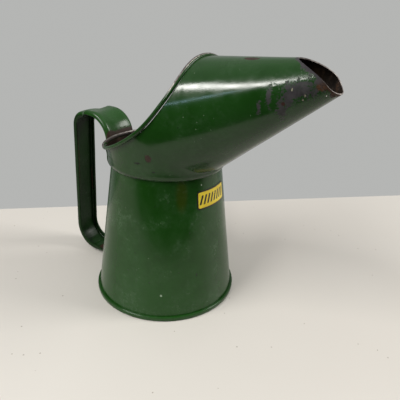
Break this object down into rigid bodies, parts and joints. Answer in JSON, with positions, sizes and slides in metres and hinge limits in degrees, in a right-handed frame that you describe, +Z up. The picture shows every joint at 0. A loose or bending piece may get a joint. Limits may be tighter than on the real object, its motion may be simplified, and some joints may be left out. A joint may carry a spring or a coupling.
{
  "type": "oil pouring can",
  "caption": "Open sheet-metal oil pouring can: conical body, oblique hood running into a tapering spout, and a pressed strap handle.",
  "frame": {"origin": "centre of the foot ring, on the surface the can stands on", "axes": "+X from the handle towards the spout's lip, +Z up; the can is symmetric across Y = 0"},
  "size_m": [0.202, 0.102, 0.171],
  "materials": {
    "green_enamel": "glossy enamel, worn",
    "foot_enamel": "glossy enamel, worn",
    "handle_enamel": "glossy enamel",
    "label_print": "printed label, satin",
    "bare_tinplate": "dull, stained tinplate",
    "iron_wire": "plain iron wire",
    "solder": "dull solder",
    "seam_compound": "dried sealing compound"
  },
  "bodies": {
    "root": {"body_shell": "green_enamel", "base_disc": "foot_enamel", "base_seam_compound": "seam_compound", "body_side_seam": "bare_tinplate", "hood_shell": "green_enamel", "rim_curl": "green_enamel", "rim_wire": "iron_wire", "neck_solder": "solder", "hood_seam_strip": "bare_tinplate", "handle_strap": "handle_enamel", "handle_upper_solder": "solder", "handle_lower_solder": "solder", "front_label": "label_print"}
  },
  "joints": []
}
